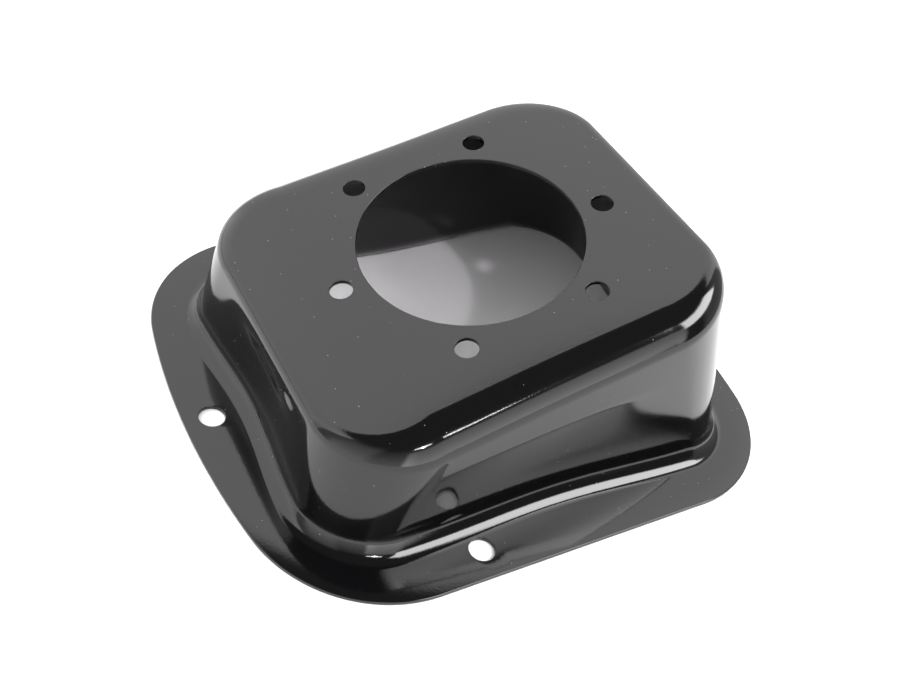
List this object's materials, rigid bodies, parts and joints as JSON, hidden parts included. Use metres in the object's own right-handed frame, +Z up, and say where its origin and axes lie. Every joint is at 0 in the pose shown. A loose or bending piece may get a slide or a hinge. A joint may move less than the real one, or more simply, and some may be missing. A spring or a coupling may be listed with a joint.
{
  "type": "flanged sheet-metal housing",
  "caption": "Deep-drawn steel box with a flat mounting flange, a slanted top with a round opening ringed by screw holes, and an open underside.",
  "frame": {"origin": "middle of the flange's underside, which is the mounting face", "axes": "+X along the flange towards the tall end of the box, +Y across it, +Z up out of the mounting face towards the slanted top"},
  "size_m": [0.171, 0.142, 0.0633],
  "materials": {
    "black_paint": "gloss black electro-coat over pressed steel, with a slight orange peel"
  },
  "bodies": {
    "root": {"housing": "black_paint"}
  },
  "joints": []
}
